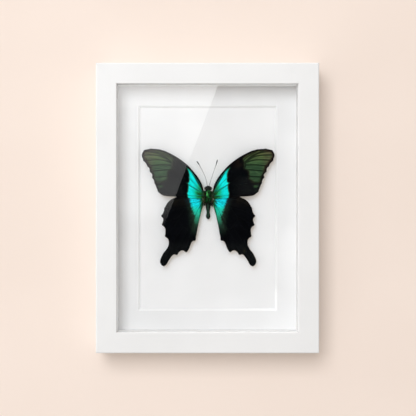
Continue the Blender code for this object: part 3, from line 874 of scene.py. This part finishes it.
def hindwing_finish():
    skin = scale_finish("hindwing_scales")
    u, v = skin.u, skin.v

    tone = skin.mix(skin.folds.rise(0.45, 0.70) * 0.55, tint(1, 2, 5), tint(5, 7, 13))
    brown = u.rise(13, 20) * v.rise(-9, -3) * skin.cloud.rise(0.35, 0.60)
    tone = skin.mix(brown * 0.9, tone, tint(20, 17, 12))
    low = v.rise(-31, -38)
    tone = skin.mix(low * 0.8, tone, tint(14, 16, 17))
    flecks = skin.cloud.rise(0.62, 0.70) * v.rise(-34, -37) * skin.rim.rise(1.0, 2.4)
    tone = skin.mix(flecks * 0.8, tone, tint(44, 42, 20))

    # The band: cyan at the top, greener and darker down to a point, with a dusting round it.
    down = -1 * v + (skin.cloud - 0.5) * 2.0
    cyan = skin.ramp(down / 30.0, [
        (0.02, tint(22, 228, 251)), (0.20, tint(14, 240, 246)), (0.30, tint(26, 214, 184)),
        (0.43, tint(42, 182, 150)), (0.53, tint(44, 142, 109)), (0.63, tint(45, 109, 84)),
        (0.70, tint(32, 60, 46)), (0.80, tint(20, 32, 27)), (1.00, tint(6, 9, 12))])
    speckle = skin.noise(skin.place(), 620, detail=3, roughness=0.7)
    cyan = skin.mix(skin.rays.rise(0.55, 0.72) * 0.30, cyan, tint(8, 60, 60))
    cyan = skin.mix(skin.rays.rise(0.42, 0.28) * 0.35, cyan, tint(40, 236, 226))
    cyan = skin.mix(speckle.rise(0.56, 0.70) * down.rise(8, 13) * 0.65, cyan, tint(18, 44, 32))
    inner = u + (skin.rays - 0.5) * 5.0
    rooty = skin.mix(skin.rays.rise(0.42, 0.58), tint(16, 60, 26), tint(40, 148, 84))
    rooty = skin.mix(down.rise(8, 14), rooty, tint(30, 112, 80))
    rooty = skin.mix(down.rise(16, 23), rooty, tint(20, 40, 30))
    cyan = skin.mix(inner.rise(7.4, 4.8), cyan, rooty)
    cyan = skin.mix(inner.rise(4.6, 3.4) * down.rise(8, 4), cyan, tint(40, 40, 28))
    dark_rays = (skin.streaks + (skin.fuzz - 0.5) * 0.3).rise(0.49, 0.58) * skin.reach.rise(13.5, 7.0)
    cyan = skin.mix(dark_rays * 0.70 * skin.reach.rise(14, 9), cyan, tint(8, 40, 24))
    edge = skin.band + (skin.rays - 0.5) * 2.8 + (speckle - 0.5) * (2.0 + down.rise(4, 14) * 5.0)
    halo = edge.rise(-5.2, 0.8) * down.rise(31, 21)
    dust = skin.mix(down.rise(1, 9), tint(26, 46, 52), tint(38, 58, 44))
    tone = skin.mix(halo * (0.5 + skin.fuzz * 0.6), tone, dust)
    tone = skin.mix(edge.rise(-1.0, 1.3), tone, cyan)

    in_band = edge.rise(-0.4, 1.0) * down.rise(24, 18)
    tone = skin.mix(skin.vein.rise(0.36, 0.10) * in_band * 0.5, tone, tint(14, 84, 70))
    tone = skin.mix(skin.vein.rise(0.32, 0.08) * (1 - in_band) * 0.6, tone, tint(12, 14, 15))
    tone = skin.mix((skin.rim + (skin.fuzz - 0.5) * 0.4).rise(1.0, 0.4) * u.rise(8, 12), tone, MARGIN)
    return scaled_skin(skin, tone)


def wings():
    fore_finish, hind_finish = forewing_finish(), hindwing_finish()
    fore = Wing("forewing", FOREWING_VEINS, FOREWING_CELL, FOREWING_BAND, FOREWING_PATCH)
    hind = Wing("hindwing", HINDWING_VEINS, HINDWING_CELL, HINDWING_BAND)
    for wing, material in ((fore, fore_finish), (hind, hind_finish)):
        for sign, word in SIDES:
            wing.membrane(sign, word, material, wing.node + "_scales")
    return fore, hind


# ---- what grows on the specimen: veins, fringe, hair, antennae ---------------------------


def tube_growth(name, material, sides, spacing, joint=None):
    """A round tube on a line of edges, from half thicknesses. It narrows between its joints."""
    tree = Growth(name, Sides=sides, Spacing=spacing)
    lines = tree.add("GeometryNodeMeshToCurve", None, {0: tree.input("Base")})
    even = tree.add("GeometryNodeResampleCurve", {"mode": "LENGTH"},
                    {"Curve": lines, "Length": tree.input("Spacing")})
    half = tree.attribute("half")
    if joint:
        along = tree.add("GeometryNodeSplineParameter").also("Length")
        half = half * (1 + (along * (2 * math.pi / joint)).sine() * 0.12)
    ring = tree.add("GeometryNodeCurvePrimitiveCircle", None,
                    {"Resolution": tree.input("Sides"), "Radius": 1.0})
    tubes = tree.add("GeometryNodeCurveToMesh", None, {
        "Curve": even, "Profile Curve": ring, "Scale": half, "Fill Caps": True})
    return tree.done(tubes, material)


HAIR_WIDE = 0.05 * MM  # half thickness at the root
HAIR_TIP = 0.15 * HAIR_WIDE
FRINGE_WIDE = 0.055 * MM
FRINGE_LONG = 0.30 * MM
FRINGE_STEP = 0.11  # spacing along the rim, in millimetres
FRINGE_ROOT = 0.05  # how far inside the rim it starts


def blade_growth(name, material, faces_of_base):
    """Small tapered blades that stand on a base mesh, leaning along its lean attribute."""
    tree = Growth(name, Density=1.0, Length=MM, Width=HAIR_WIDE, Shortest=0.5, Spread=0.3,
                  Bend=0.3, Segments=3, Seed=SEED)
    seed = tree.input("Seed")
    if faces_of_base:
        dots = tree.add("GeometryNodeDistributePointsOnFaces", {"distribute_method": "RANDOM"},
                        {"Mesh": tree.input("Base"), "Seed": seed,
                         "Density": tree.attribute("hair") * tree.input("Density")})
    else:
        dots = tree.add("GeometryNodeMeshToPoints", None, {"Mesh": tree.input("Base")})
    jitter = tree.random((-1.0, -1.0, -1.0), (1.0, 1.0, 1.0), seed)
    loose = tree.add("ShaderNodeVectorMath", {"operation": "SCALE"},
                     {0: jitter, "Scale": tree.input("Spread")})
    lean = tree.attribute("lean", "FLOAT_VECTOR")
    aim = tree.add("ShaderNodeVectorMath", {"operation": "ADD"}, {0: lean, 1: loose})
    turned = tree.add("FunctionNodeAlignRotationToVector", {"axis": "Z"}, {"Vector": aim})
    long = tree.random(0.0, 1.0, seed + 1)
    shortest = tree.input("Shortest")
    share = (shortest + (1 - shortest) * long) * tree.attribute("size")
    scale = tree.add("ShaderNodeCombineXYZ", None, {0: 1.0, 1: 1.0, 2: share})
    blade = tree.add("GeometryNodeMeshCone", None, {
        "Vertices": 3, "Side Segments": tree.input("Segments"), "Radius Top": HAIR_TIP,
        "Radius Bottom": tree.input("Width"), "Depth": tree.input("Length")})
    at = tree.add("GeometryNodeInputPosition")
    up = tree.add("ShaderNodeSeparateXYZ", None, {0: at}).also("Z")
    curl = up * up * tree.input("Bend") / tree.input("Length")
    bent = tree.add("GeometryNodeSetPosition", None, {
        "Geometry": blade, "Offset": tree.add("ShaderNodeCombineXYZ", None, {0: curl})})
    grown = tree.add("GeometryNodeInstanceOnPoints", None, {
        "Points": dots, "Instance": bent, "Rotation": turned, "Scale": scale})
    return tree.done(grown, material)


def set_field(piece, name, values):
    """Gives a mesh's points a number or a vector each."""
    values = np.asarray(values, np.float32)
    kind, key = ("FLOAT", "value") if values.ndim == 1 else ("FLOAT_VECTOR", "vector")
    piece.data.attributes.new(name, kind, "POINT").data.foreach_set(key, values.ravel())


def wing_ribs(wing, sign, word, material):
    points, edges, widths = wing.vein_lines(sign)
    base = mesh_object("vein_lines", points, [], edges=edges)
    set_field(base, "half", np.array(widths) * MM)
    growth = tube_growth("vein_ribs", material, 6, 0.35 * MM)
    ribs = growth.run(f"{wing.node}_{word}_veins", base)
    return put(outwards(ribs), wing.node + "_scales")


def wing_fringe(wing, sign, word, material):
    """Short scales along the rim, which point away from the wing."""
    rim = respaced(wing.rim, FRINGE_STEP)
    out = outward_normals(rim)
    # The leading edge is bare, and the fringe is longest in the hollows of the outer edge.
    size = np.clip(1.15 * out[:, 0] - 0.9 * out[:, 1], 0.12, 1.0)
    base = mesh_object("fringe_roots", wing.surface(rim - out * FRINGE_ROOT, sign), [])
    lean = np.stack([sign * out[:, 0], np.zeros(len(out)), out[:, 1]], axis=1)
    set_field(base, "lean", lean)
    set_field(base, "size", size)
    fringe = blade_growth("fringe", material, False).run(
        f"{wing.node}_{word}_fringe", base, Length=FRINGE_LONG, Width=FRINGE_WIDE, Spread=0.28,
        Segments=2, Bend=0.1, Seed=SEED + sign)
    return put(fringe, wing.node + "_scales")


BODY_RING = 56
BODY_STEPS = 7
ABDOMEN_TOP = -5.5  # where the ringed part starts, up from the wing roots
ABDOMEN_RING, RING_DEEP = 1.35, 0.055  # spacing of the rings, and their depth as a share
NECK, NECK_DEEP = (4.4, 5.4), 0.10
HEAD_FROM = 5.4


def body_stations():
    """Height, half width, half thickness and depth of the middle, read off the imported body."""
    copy = joined(NODES["body"].data)
    levels = {}
    for vert in copy.verts:
        levels.setdefault(round((vert.co.z - ROOT_Z) / MM, 2), []).append(vert.co.copy())
    copy.free()
    found = []
    for height in sorted(levels, reverse=True):
        ring = levels[height]
        wide = max(abs(p.x - AXIS_X) for p in ring) / MM
        depths = [depth_of(p.y) for p in ring]
        found.append((height, wide, (max(depths) - min(depths)) / 2, (max(depths) + min(depths)) / 2))
    return found


def torso(material):
    """Head, thorax and ringed abdomen, with the places and directions of their hair."""
    stations = curve_through(body_stations(), BODY_STEPS)
    points, hair, lean, size = [], [], [], []
    for v, wide, thick, depth in stations:
        ringed = 0.0
        if v < ABDOMEN_TOP:
            turn = (v - ABDOMEN_TOP) / ABDOMEN_RING * 2 * math.pi
            ringed = RING_DEEP * (0.5 + 0.5 * math.cos(turn)) ** 4
        for i in range(BODY_RING):
            a = 2 * math.pi * i / BODY_RING
            x, y = math.cos(a), math.sin(a)
            shrink = 1 - ringed
            if NECK[0] < v < NECK[1]:
                shrink -= NECK_DEEP
            points.append(place(wide * shrink * x, v, depth + thick * shrink * y))
            thorax = np.clip(min((5.6 - v) / 0.8, (v + 5.6) / 1.2), 0, 1)
            head = np.clip((v - 5.0) / 0.6, 0, 1)
            hair.append(float(max(thorax, 0.5 * head, 0.30)))
            size.append(float(0.30 + 0.70 * thorax - 0.08 * head))
            back = -1.1 if v < HEAD_FROM else 0.7
            lean.append((0.75 * x + 0.25 * x * thorax, 0.55 * y, 0.75 * back))
    faces = []
    rows = len(stations)
    for r in range(rows - 1):
        for i in range(BODY_RING):
            j = (i + 1) % BODY_RING
            a, b = r * BODY_RING, (r + 1) * BODY_RING
            faces.append((a + i, a + j, b + j, b + i))
    faces.append(tuple(range(BODY_RING)))
    faces.append(tuple((rows - 1) * BODY_RING + i for i in reversed(range(BODY_RING))))
    body = mesh_object("body_torso", points, faces, material)
    set_field(body, "hair", hair)
    set_field(body, "size", size)
    set_field(body, "lean", lean)
    outwards(body)
    body.data.shade_smooth()
    return body


def body_colours(skin):
    """Black-green, with brown at the wing roots and a painted highlight: a bright green streak on the
    left of the thorax, where light from the upper left catches the hair.
    """
    u, v = skin.on_specimen()
    clumps = skin.noise(skin.stretched(skin.place(), (1, 1, 0.6)), 1150, detail=3, roughness=0.6)
    patches = skin.noise(skin.place(), 900, detail=2, roughness=0.6)
    tone = skin.mix(clumps.rise(0.52, 0.62), tint(3, 5, 5), tint(14, 60, 28))
    middle = abs(u).rise(2.0, 0.8) * v.rise(-5.0, -3.0) * v.rise(5.4, 4.2)
    tone = skin.mix(middle * patches.rise(0.51, 0.57) * 0.9, tone, tint(30, 150, 60))
    tone = skin.mix(middle * patches.rise(0.52, 0.47) * 0.95, tone, tint(2, 4, 3))
    # Painted highlight: a bright green streak on the thorax's left side only, as if lit from the upper
    # left.
    along = (u + 0.85) / 0.70
    down = (v - 2.3) / 1.9
    painted_highlight = (along * along + down * down + (clumps - 0.5) * 2.0).rise(1.2, 0.1)
    tone = skin.mix(painted_highlight * 0.95, tone, tint(108, 224, 126))
    sides = abs(u).rise(1.9, 2.6) * v.rise(-5.4, -3.5) * v.rise(5.2, 4.0)
    tone = skin.mix(sides * patches.rise(0.46, 0.56) * 0.85, tone, tint(22, 104, 46))
    roots = abs(u).rise(2.1, 2.9) * abs(v + 0.6).rise(4.6, 2.6) * clumps.rise(0.42, 0.58)
    tone = skin.mix(roots * 0.85, tone, tint(88, 60, 48))
    below = v.rise(-5.0, -6.5)
    line = (abs(u + 0.15) + (clumps - 0.5) * 0.5).rise(0.85, 0.15) * below * v.rise(-15.6, -14.0)
    tone = skin.mix(below * 0.8, tone, skin.mix(clumps.rise(0.4, 0.6), tint(4, 8, 6), tint(9, 20, 14)))
    tone = skin.mix(line * 0.7, tone, tint(30, 74, 52))
    head = v.rise(4.9, 5.6)
    crown = skin.mix(clumps.rise(0.46, 0.64), tint(5, 7, 6), tint(34, 40, 30))
    tone = skin.mix(head * 0.92, tone, crown)
    return tone, clumps


def body_finish():
    skin = Finish("body_skin")
    tone, clumps = body_colours(skin)
    return skin.surface(
        Base_Color=tone, Roughness=0.50 + clumps * 0.3, Specular_IOR_Level=0.25,
        Normal=skin.bump(clumps, 0.12 * MM, 0.8))


def hair_finish():
    hair = Finish("body_hair")
    tone, clumps = body_colours(hair)
    return hair.surface(Base_Color=tone, Roughness=0.48 + clumps * 0.2, Specular_IOR_Level=0.30)


def eye_finish():
    """Dark brown, faceted all over."""
    eye = Finish("compound_eye")
    cells = eye.add("ShaderNodeTexVoronoi", {"feature": "F1"}, {"Vector": eye.place(), "Scale": 9000.0})
    tone = eye.mix(eye.noise(eye.place(), 2200), tint(24, 17, 13), tint(66, 54, 44))
    return eye.surface(
        Base_Color=tone, Roughness=0.28 + cells * 0.1, Coat_Weight=0.3, Coat_Roughness=0.15,
        Normal=eye.bump(cells * -1, 0.03 * MM, 0.7))


EYE = (1.75, 6.45, 15.0)  # its middle: u, v and depth
EYE_HALF = (1.15, 1.3, 1.25)


def eyes(material):
    for sign, word in SIDES:
        work = bmesh.new()
        bmesh.ops.create_uvsphere(work, u_segments=40, v_segments=24, radius=1.0)
        for vert in work.verts:
            x, y, z = vert.co
            vert.co = place(
                sign * EYE[0] + x * EYE_HALF[0], EYE[1] + z * EYE_HALF[1], EYE[2] + y * EYE_HALF[2])
        mesh = bpy.data.meshes.new("eye_" + word)
        bmesh.ops.recalc_face_normals(work, faces=work.faces)
        work.to_mesh(mesh)
        work.free()
        mesh.materials.append(material)
        eye = link("eye_" + word, mesh)
        mesh.shade_smooth()
        put(eye, "body_hair")


# Each antenna's route: out from the axis, up from the roots, depth behind the face, half thickness.
ANTENNAE = {
    "left": [(-0.7, 8.0, 13.8, 0.17), (-1.0, 10.6, 13.1, 0.13), (-2.3, 15.0, 12.6, 0.12),
             (-4.2, 19.4, 12.2, 0.13), (-6.2, 23.2, 11.9, 0.20), (-7.6, 25.4, 11.7, 0.42),
             (-8.6, 26.8, 11.6, 0.34)],
    "right": [(0.7, 8.0, 13.8, 0.17), (1.4, 10.8, 13.1, 0.13), (2.9, 15.2, 12.6, 0.12),
              (4.3, 19.4, 12.2, 0.13), (5.7, 23.4, 11.9, 0.20), (6.5, 26.1, 11.7, 0.42),
              (6.97, 27.9, 11.6, 0.34)],
}


ANTENNA_JOINT = 0.42 * MM
ANTENNA_STEP = 0.2  # spacing of its points, in millimetres
CLUB_END = 0.36  # the length over which the club rounds off


def antenna_finish():
    shaft = Finish("antenna_chitin")
    grain = shaft.noise(shaft.place(), 2600, detail=2)
    v = shaft.on_specimen()[1]
    tone = shaft.mix(v.rise(22.5, 25.0), tint(92, 90, 88), tint(40, 42, 44))
    tone = shaft.mix(grain.rise(0.35, 0.7) * 0.6, tone, tint(58, 54, 50))
    return shaft.surface(
        Base_Color=tone, Roughness=0.40 + grain * 0.25, Specular_IOR_Level=0.4,
        Normal=shaft.bump(grain, 0.02 * MM, 0.6))


def antennae():
    growth = tube_growth("jointed_antenna", antenna_finish(), 10, 0.10 * MM, ANTENNA_JOINT)
    for word, route in ANTENNAE.items():
        line = respaced(curve_through(route, 10), ANTENNA_STEP, closed=False)
        # The last points close the club to a round end.
        tail = np.arange(len(line))[::-1] * ANTENNA_STEP
        end = np.sqrt(np.clip(1 - (1 - np.clip(tail / CLUB_END, 0, 1)) ** 2, 0.02, 1))
        points = [place(*row[:3]) for row in line]
        edges = [(i, i + 1) for i in range(len(points) - 1)]
        base = mesh_object("antenna_line", points, [], edges=edges)
        set_field(base, "half", line[:, 3] * end * MM)
        made = growth.run(f"antenna_{word}_jointed", base)
        put(outwards(made), "antenna_chitin", f"antenna_{word}")


TUFT_HAIRS = 650  # on each side
TUFT_ROOTS = (-6.2, 4.2)  # lowest and highest, in millimetres
TUFT_LONG, COAT_LONG = 3.0 * MM, 0.95 * MM
COAT_DENSITY = 3.0e7  # hairs to a square metre


def root_tufts(material):
    """Long loose hair that fans from the thorax over the roots of the wings."""
    points, lean, size = [], [], []
    rng = np.random.default_rng(SEED)
    for sign in (-1, 1):
        for _ in range(TUFT_HAIRS):
            v = rng.uniform(*TUFT_ROOTS)
            points.append(place(sign * rng.uniform(1.9, 3.2), v, 14.0 + rng.uniform(-0.5, 0.9)))
            lean.append((sign * 1.0, rng.uniform(-0.20, 0.10), 0.16 * v - 0.10))
            size.append(rng.uniform(0.45, 1.0))
    base = mesh_object("tuft_roots", points, [])
    set_field(base, "lean", lean)
    set_field(base, "size", size)
    tufts = blade_growth("tufts", material, False).run(
        "wing_root_tufts", base, Length=TUFT_LONG, Spread=0.30, Bend=0.25, Segments=4,
        Seed=SEED + 11)
    return put(tufts, "body_hair")


def specimen():
    fore, hind = wings()
    rib = vein_finish()
    fringe = fringe_finish()
    for wing in (fore, hind):
        for sign, word in SIDES:
            wing_ribs(wing, sign, word, rib)
            wing_fringe(wing, sign, word, fringe)
    skin, hair = body_finish(), hair_finish()
    body = torso(skin)
    coat_base = body.copy()
    coat_base.data = body.data.copy()
    bpy.context.scene.collection.objects.link(coat_base)
    put(body, "body_hair", "body")
    coat = blade_growth("coat", hair, True).run(
        "body_coat", coat_base, Density=COAT_DENSITY, Length=COAT_LONG, Shortest=0.45,
        Spread=0.35, Bend=0.35, Segments=2)
    put(coat, "body_hair")
    root_tufts(hair)
    eyes(eye_finish())
    antennae()


def vein_finish():
    """Ribs take the colours of the wing about them, darkened."""
    rib = Finish("vein_ribs")
    grain = rib.noise(rib.place(), 1800, detail=2)
    u, v = rib.on_specimen()
    u = abs(u)
    band_end = 14.8 - v.rise(-1.5, -2.5) * 2.2 - v.rise(-4, -16) * 3.5
    in_band = (band_end - u).rise(-0.5, 1.0) * u.rise(5.0, 8.0) * v.rise(-17, -11)
    tone = rib.mix(grain.rise(0.3, 0.7), tint(4, 6, 8), tint(9, 12, 10))
    in_patch = u.rise(27, 30) * v.rise(9, 12)
    tone = rib.mix(in_patch * grain.rise(0.35, 0.65) * 0.8, tone, tint(24, 38, 24))
    tone = rib.mix(in_band * 0.9, tone, tint(14, 158, 152))
    return rib.surface(
        Base_Color=tone, Roughness=0.6, Specular_IOR_Level=0.1, Normal=rib.bump(grain, 0.02 * MM, 0.5))


def fringe_finish():
    fringe = Finish("fringe_scales")
    grain = fringe.noise(fringe.place(), 900, detail=2)
    tone = fringe.mix(grain.rise(0.4, 0.7), tint(9, 9, 10), tint(34, 28, 22))
    return fringe.surface(Base_Color=tone, Roughness=0.7, Specular_IOR_Level=0.1)


# ---- the room: wall, floor, light and camera ---------------------------------------------

CAMERA_AWAY = 725 * MM
CAMERA_RIGHT = 0.37 * MM
CAMERA_LENS = 85.0
WALL_GAP = 0.5 * MM
FLOOR_DROP = 0.40
ROOM = 3.0

LAMP_AWAY = 2.6
LAMP_LEFT, LAMP_UP = (-0.03, 0.52), (0.08, 0.72)  # its reach, as slopes from the middle of the frame
LAMP_POWER = 51.0
# The specimen throws only a faint, warm shadow: it doesn't stop the soft share of the key light.
KEYS = (("key_soft", 0.38, (1.24, 1.0, 0.78)), ("key_sharp", 0.62, (0.81, 1.0, 1.19)))
SPECIMEN_NAMES = ("forewing", "hindwing", "body", "wing_root", "eye", "antenna")
RIM_POWER = 25.0
RIM_SIDE, RIM_FRONT, RIM_SIZE = 1.4, 0.20, 0.3  # it skims the face from the upper left
RIM_LIT = ("rail_left", "rail_right", "rail_top", "rail_bottom", "window_mat")
BACK_POWER, BACK_SIZE = 6.0, 0.8
BACK_AT, BACK_TOWARDS = (-0.25, 1.4, 0.55), (0.2, -1.4, -0.5)
SKY = (0.525, 0.50, 0.480)


def panel(name, low, high, material, normal):
    """A flat rectangle between two opposite corners, facing along +1 or -1 of its thin axis."""
    thin = min(range(3), key=lambda k: abs(high[k] - low[k]))
    a, b = [k for k in range(3) if k != thin]
    corners = []
    for first, second in ((low, low), (high, low), (high, high), (low, high)):
        corner = list(low)
        corner[a], corner[b] = first[a], second[b]
        corners.append(corner)
    made = mesh_object(name, corners, [(0, 1, 2, 3)], material)
    if made.data.polygons[0].normal[thin] * normal < 0:
        made.data.flip_normals()
    made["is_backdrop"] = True
    return made


def plaster():
    """Cream wall with a faint roller stipple. It is clear from behind, so the back can be seen."""
    wall = Finish("cream_wall")
    at = wall.place()
    stipple = wall.noise(at, 420, detail=3)
    patchy = wall.noise(at, 7, detail=2)
    tone = wall.mix(patchy.rise(0.3, 0.7), (0.872, 0.748, 0.662), (0.900, 0.776, 0.690))
    matt = wall.principled(
        Base_Color=tone, Roughness=0.92, Specular_IOR_Level=0.15,
        Normal=wall.bump(stipple, 0.12 * MM, 0.35))
    behind = wall.add("ShaderNodeNewGeometry", out="Backfacing")
    through = wall.add("ShaderNodeBsdfTransparent", None, {0: (1.0, 1.0, 1.0)})
    return wall.done(wall.add("ShaderNodeMixShader", None, {0: behind, 1: matt, 2: through}))


def pale_floor():
    floor = Finish("pale_floor")
    cloudy = floor.noise(floor.place(), 3, detail=3)
    tone = floor.mix(cloudy, (0.72, 0.70, 0.68), (0.78, 0.765, 0.745))
    return floor.surface(Base_Color=tone, Roughness=0.7, Specular_IOR_Level=0.3)


def light(name, power, centre, size, towards, colour=(1, 1, 1)):
    lamp = bpy.data.lights.new(name, "AREA")
    lamp.shape = "RECTANGLE"
    lamp.size, lamp.size_y = size
    lamp.energy = power
    lamp.color = colour
    made = link(name, lamp)
    made.location = centre
    made.rotation_mode = "QUATERNION"
    made.rotation_quaternion = Vector(towards).to_track_quat("-Z", "Y")
    made.visible_camera = False
    return made


# The blind's slanted edge goes through two points, given sideways and up from the middle.
BLIND_EDGE = (-0.0645, -0.025), (0.014, 0.179)
BLIND_BOTTOM, BLIND_TOP, BLIND_LEFT = -0.08, 0.30, -0.6


# It brightens in steps: from one height above the middle to the next, by how much.
BLIND_STEPS = ((-0.040, 0.018, 0.62), (0.045, 0.11, 0.42), (0.14, 0.185, 1.5))


def glare_material():
    """The bright blind that the glass mirrors: it fades downwards."""
    blind = Finish("glare_blind")
    height = blind.across_and_up()[1] - MIDDLE.z
    strength = sum(height.rise(low, high) * more for low, high, more in BLIND_STEPS)
    return blind.done(blind.add("ShaderNodeEmission", None, {"Color": (1, 1, 1), "Strength": strength}))


def excluding(name, pieces):
    """A light linking collection of everything but these pieces."""
    group = bpy.data.collections.new(name)
    for piece in pieces:
        group.objects.link(piece)
    for entry in group.collection_objects:
        entry.light_linking.link_state = "EXCLUDE"
    return group


def surroundings():
    """The wall that the frame hangs on, a floor far below, and the sky."""
    wall_y = BACK_Y + WALL_GAP
    floor_z = CAD_LOW.z - FLOOR_DROP
    wall = panel("wall", (-ROOM, wall_y, floor_z), (ROOM, wall_y, ROOM), plaster(), -1)
    wall.visible_shadow = False
    wall.visible_diffuse = False
    panel("floor", (-ROOM, -ROOM, floor_z), (ROOM, ROOM, floor_z), pale_floor(), 1)

    sky = bpy.data.worlds.new("sky")
    bpy.context.scene.world = sky
    sky.use_nodes = True
    background = sky.node_tree.nodes["Background"]
    background.inputs["Color"].default_value = (*SKY, 1)
    background.inputs["Strength"].default_value = 1.0
    sky.cycles_visibility.glossy = False
    sky.cycles_visibility.transmission = False


def lamps():
    centre = Vector((-sum(LAMP_LEFT) / 2 * LAMP_AWAY, FACE_Y - LAMP_AWAY,
                     MIDDLE.z + sum(LAMP_UP) / 2 * LAMP_AWAY))
    size = ((LAMP_LEFT[1] - LAMP_LEFT[0]) * LAMP_AWAY, (LAMP_UP[1] - LAMP_UP[0]) * LAMP_AWAY)
    unlit = excluding("all_but_glass", [NODES["glass"]])
    specimen_pieces = [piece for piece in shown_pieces() if piece.name.startswith(SPECIMEN_NAMES)]
    passed = excluding("all_but_specimen", specimen_pieces)
    for name, share, colour in KEYS:
        key = light(name, share * LAMP_POWER, centre, size, (0, 1, 0), colour)
        key.light_linking.receiver_collection = unlit
        if name == "key_soft":
            key.light_linking.blocker_collection = passed
    rim = light("rim", RIM_POWER, (-RIM_SIDE, FACE_Y - RIM_FRONT, MIDDLE.z + RIM_SIDE),
                (RIM_SIZE, RIM_SIZE), (RIM_SIDE, RIM_FRONT, -RIM_SIDE))
    rimmed = bpy.data.collections.new("lit_by_rim")
    for name in RIM_LIT:
        rimmed.objects.link(NODES[name])
    rim.light_linking.receiver_collection = rimmed
    behind = (BACK_AT[0], BACK_AT[1], MIDDLE.z + BACK_AT[2])
    light("back", BACK_POWER, behind, (BACK_SIZE, BACK_SIZE), BACK_TOWARDS)


def glare_blind():
    """A card beside the camera, which only the glass sees. Its slanted right side cuts across it."""
    y = FACE_Y - CAMERA_AWAY
    low, high = BLIND_EDGE
    slope = (high[0] - low[0]) / (high[1] - low[1])
    corners = [(low[0] + slope * (z - low[1]), y, MIDDLE.z + z) for z in (BLIND_BOTTOM, BLIND_TOP)]
    corners += [(BLIND_LEFT, y, MIDDLE.z + z) for z in (BLIND_TOP, BLIND_BOTTOM)]
    blind = mesh_object("glare_blind", corners, [(0, 1, 2, 3)], glare_material())
    blind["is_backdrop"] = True
    for kind in ("camera", "diffuse", "volume_scatter", "shadow"):
        setattr(blind, "visible_" + kind, False)


def camera():
    lens = bpy.data.cameras.new("camera")
    lens.lens = CAMERA_LENS
    made = link("camera", lens)
    made.location = (CAMERA_RIGHT, FACE_Y - CAMERA_AWAY, MIDDLE.z)
    made.rotation_euler = (math.radians(90), 0, 0)
    bpy.context.scene.camera = made


def room():
    bpy.context.scene.view_settings.view_transform = "Standard"
    surroundings()
    lamps()
    glare_blind()
    camera()


frame_finishes()
specimen()
room()
